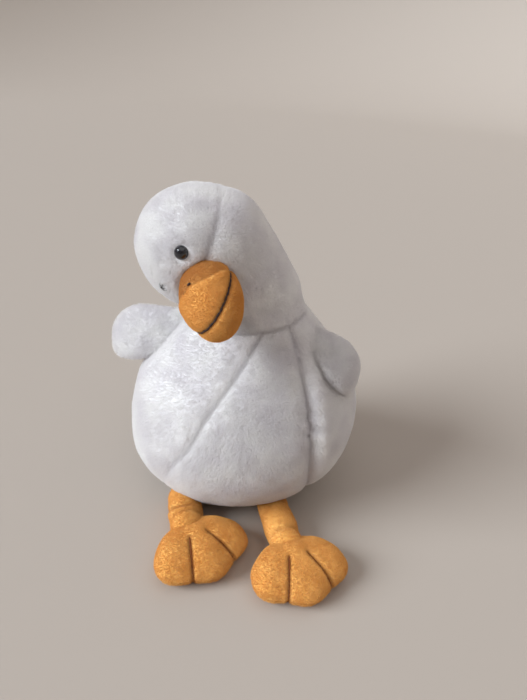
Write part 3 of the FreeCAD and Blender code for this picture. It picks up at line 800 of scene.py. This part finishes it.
def foot(name, ankle, yaw):
    forward = turned(vec(0, -1, 0), vec(0, 0, 1), yaw)
    z = vec(0, 0, 1)
    middle = vec(ankle[0], ankle[1], 7) + forward * 21

    def foot_gap(p):
        gap = None
        for fan in (-TOE_FAN, 0, TOE_FAN):
            along = turned(forward, z, fan)
            lobe = vec(ankle[0], ankle[1], 9) + along * TOE_REACH
            each = ellipsoid_gap(p, lobe, (along, np.cross(z, along), z), TOE_RADII)
            gap = each if gap is None else blended_min(gap, each, 6)
        pad = ellipsoid_gap(p, vec(ankle[0], ankle[1], 8.6) + forward * PAD_REACH,
                            (forward, np.cross(z, forward), z), PAD_RADII)
        gap = blended_min(gap, pad, 5)
        heel_middle = vec(ankle[0], ankle[1], HEEL_RADIUS) + forward * HEEL_REACH
        heel = np.linalg.norm(p - heel_middle, axis=1) - HEEL_RADIUS
        gap = blended_min(gap, heel, 4)
        return np.maximum(gap, 0.3 - p[:, 2]) + 0.2

    turns = np.linspace(0, 2 * math.pi, 301)
    pieces = []
    halves = (("top", np.linspace(0, math.pi / 2, 70)), ("sole", np.linspace(math.pi / 2, math.pi, 46)))
    for part, tilts in halves:
        p = globe(foot_gap, middle, z, forward, tilts, turns)
        flat = p.reshape(-1, 3)
        rel = flat - ankle
        reach = np.hypot(rel[:, 0], rel[:, 1])
        bearing = np.degrees(np.arctan2(rel @ np.cross(z, forward), rel @ forward))
        off = np.minimum(np.abs(bearing - TOE_FAN / 2), np.abs(bearing + TOE_FAN / 2))
        aside = reach * np.radians(off)
        line = (bump(aside, 1.5) * step(reach, 13, 18)).reshape(p.shape[:2])
        seam = np.abs(flat[:, 2] - 7).reshape(p.shape[:2])
        valley = 1.5 * line + 0.5 * bump(seam, 1.0)
        soft = (0.5 * noise(flat, 10, 41) + 0.15 * noise(flat, 3.2, 42)).reshape(valley.shape)
        resting = step(flat[:, 2].reshape(valley.shape), 0.5, 3)
        lift = (soft * step(seam, 0, 3) - valley) * resting
        p = p + slope(foot_gap, p) * lift[..., None]
        p[..., 2] = np.maximum(p[..., 2], 0.25)
        # painted shade: darker along the toe grooves and the side seam
        painted_shade = 1 - 0.55 * line - 0.15 * bump(seam, 1.0)
        pieces.append(build("foot_fleece_" + part + "_" + name, [p[:, ::-1]], ORANGE,
                            {"painted_shade": painted_shade[:, ::-1]}))
    lines = []
    for fan in (-TOE_FAN / 2, TOE_FAN / 2):
        along = turned(forward, z, fan)
        source = vec(ankle[0], ankle[1], 7) + along * 24
        swing = np.radians(np.linspace(128, 8, 40))[:, None]
        path = cast(foot_gap, source[None], np.cos(swing) * along + np.sin(swing) * z, 60, 1.0)
        inward = slope(foot_gap, path[:, None])[:, 0]
        lines.append(path - inward * 1.25)
    stitches = thread("toe_thread_" + name, lines, 0.55, 3.0, ORANGE_THREAD)
    return pieces, stitches


HIPS = {"right": vec(-38.5, -43.5, 10), "left": vec(21.5, -46, 10)}
ANKLES = {"right": vec(-34.5, -67.5, 10.5), "left": vec(29.5, -79, 10.5)}
YAWS = {"right": 32, "left": 19}
for name, fold_side in (("left", -1), ("right", 1)):
    hip, ankle = HIPS[name], ANKLES[name]
    upper, lower, ahead = leg(name, hip, ankle, fold_side)
    forward = turned(vec(0, -1, 0), vec(0, 0, 1), YAWS[name])
    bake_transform(lower)
    (top, sole), stitches = foot(name, ankle, YAWS[name])
    for piece in (top, sole, stitches):
        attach(piece, "foot_" + name)
    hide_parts("leg_tube_" + name, "leg_stuffing_" + name)
    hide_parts("foot_top_" + name, "foot_stuffing_" + name)
    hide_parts("foot_sole_" + name)
    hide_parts("toe_stitches_" + name)
    for number, (piece, count) in enumerate(((upper, 1300), (lower, 1300), (top, 3200), (sole, 1200))):
        pile(piece, 0.8, count, 10, 0.11, 50 + number)


# ---------------------------------------------------------------- who rides on what

for skin in (belly, side_left, side_right, neck_left, neck_right):
    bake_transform(skin)
for skin in (throat, crown):
    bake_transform(skin)
for piece in (base, tail):
    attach(piece, "torso")
for piece in (beak_upper, beak_lower, mouth, nostrils):
    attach(piece, "head")
for halves, start, end, body in ((wing_right, wr_start, wr_end, "wing_right"),
                                 (wing_left, wl_start, wl_end, "wing_left")):
    for half in halves:
        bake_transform(half)
    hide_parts("wing_outer_" + body[5:], "wing_stuffing_" + body[5:])
    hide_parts("wing_inner_" + body[5:])

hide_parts("belly_panel", "torso_stuffing")
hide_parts("side_panel_left")
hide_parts("side_panel_right")
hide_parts("base_panel")
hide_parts("tail")
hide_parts("neck_panel_left", "neck_stuffing")
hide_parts("neck_panel_right")
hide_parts("throat_panel")
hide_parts("crown_panel", "head_stuffing")
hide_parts("beak_upper", "beak_stuffing")
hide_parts("beak_lower")
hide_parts("mouth_stitch")
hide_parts("nostril_stitches")

# closing stitches: short white threads across the back seam
lines = []
for number in range(8):
    level = 74 + number * 4.5
    x = np.linspace(-2.6, 2.6, 9)
    source = np.stack((3 + x, x * 0, x * 0 + level + x * 0.12 * (-1) ** number), -1)
    spots = cast(bird_gap, source, np.broadcast_to(vec(0, 1, 0), source.shape), 110)
    lines.append(spots + np.stack((x * 0, 0.35 - 0.05 * x * x, x * 0), -1))
closing = thread("closing_thread", lines, 0.5, 5.2, WHITE_THREAD)
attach(closing, "torso")
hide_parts("closing_stitches")

white_pieces = [(belly, 8000), (side_left, 13000), (side_right, 13000), (base, 700), (tail, 1000),
                (neck_left, 3000), (neck_right, 3000), (throat, 4000), (crown, 5500)]
white_pieces += [(half, 1700) for half in wing_right + wing_left]
for number, (piece, count) in enumerate(white_pieces):
    if piece is not base:
        pile(piece, 2.4, count, 11, 0.12, number + 1, lie=(0, 0, -0.2), strands=WHITE_PILE)
for piece in (beak_upper, beak_lower):
    pile(piece, 0.8, 2600, 10, 0.11, 40)

# CAD pieces that stay get their own finish
kept = {"eye_left": BLACK, "eye_right": BLACK, "eye_washer_left": CLEAR, "eye_washer_right": CLEAR,
        "pellet_pouch": POUCH, "pellets": BEADS}
for node, material in kept.items():
    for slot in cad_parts[node].material_slots:
        slot.material = material


# ---------------------------------------------------------------- floor, light and camera

floor_material, tree, shader = fresh("studio_floor")
shader.inputs["Base Color"].default_value = srgb(176, 166, 156)
shader.inputs["Roughness"].default_value = 0.85
FLOOR_FLAT, FLOOR_CURVE, WALL_TOP = 2000, 900, 2200.0
curve = np.linspace(0, math.pi / 2, 14)[1:]
floor_reach = np.concatenate((np.linspace(0, FLOOR_FLAT, 12), FLOOR_FLAT + FLOOR_CURVE * np.sin(curve),
                              (FLOOR_FLAT + FLOOR_CURVE,)))
floor_height = np.concatenate((np.zeros(12), FLOOR_CURVE * (1 - np.cos(curve)), (WALL_TOP,)))
floor_turn = np.linspace(0, 2 * math.pi, 73)
floor_grid = np.stack((floor_reach[:, None] * np.cos(floor_turn), floor_reach[:, None] * np.sin(floor_turn),
                       floor_height[:, None] + floor_turn * 0), -1)
floor = build("floor", [floor_grid[:, ::-1]], floor_material)
floor.visible_shadow = False   # its far rim is above the low light


def sun(name, place, angle, strength, colour):
    """A soft light from far off, shining from this place towards the origin."""
    light = bpy.data.lights.new(name, "SUN")
    light.angle, light.energy, light.color = math.radians(angle), strength, colour
    holder = bpy.data.objects.new(name, light)
    holder.rotation_mode = "QUATERNION"
    holder.rotation_quaternion = Vector(place).to_track_quat("Z", "Y")
    bpy.context.scene.collection.objects.link(holder)


sun("key", (-0.92, -0.28, 0.54), 34, 4.2, (0.86, 0.93, 1.0))
sun("top", (0.1, -0.1, 1.0), 70, 0.7, (1.0, 0.98, 0.96))
world = bpy.data.worlds.new("studio")
world.use_nodes = True
world.node_tree.nodes["Background"].inputs[0].default_value = (0.95, 0.9, 0.93, 1)
world.node_tree.nodes["Background"].inputs[1].default_value = 0.34
bpy.context.scene.world = world
bpy.context.scene.view_settings.view_transform = "Standard"

AZIMUTH, ELEVATION, ROLL = (math.radians(x) for x in (-4, 31, 4.5))
TARGET, DISTANCE = vec(10, -6, 109), 352
LENS, SENSOR = 27.77, 36
level_way = vec(math.sin(AZIMUTH), -math.cos(AZIMUTH), 0)
back_way = level_way * math.cos(ELEVATION) + vec(0, 0, math.sin(ELEVATION))
right = unit(np.cross(vec(0, 0, 1), back_way))
upward = np.cross(back_way, right)
right, upward = (right * math.cos(ROLL) + upward * math.sin(ROLL),
                 upward * math.cos(ROLL) - right * math.sin(ROLL))
camera = bpy.data.objects.new("camera", bpy.data.cameras.new("camera"))
camera.data.lens = LENS
camera.data.sensor_width = SENSOR
camera.data.clip_start = 0.01
matrix = Matrix(np.array((right, upward, back_way)).T.tolist()).to_4x4()
matrix.translation = Vector(((TARGET + back_way * DISTANCE) * MM).tolist())
camera.matrix_world = matrix
bpy.context.scene.collection.objects.link(camera)
bpy.context.scene.camera = camera
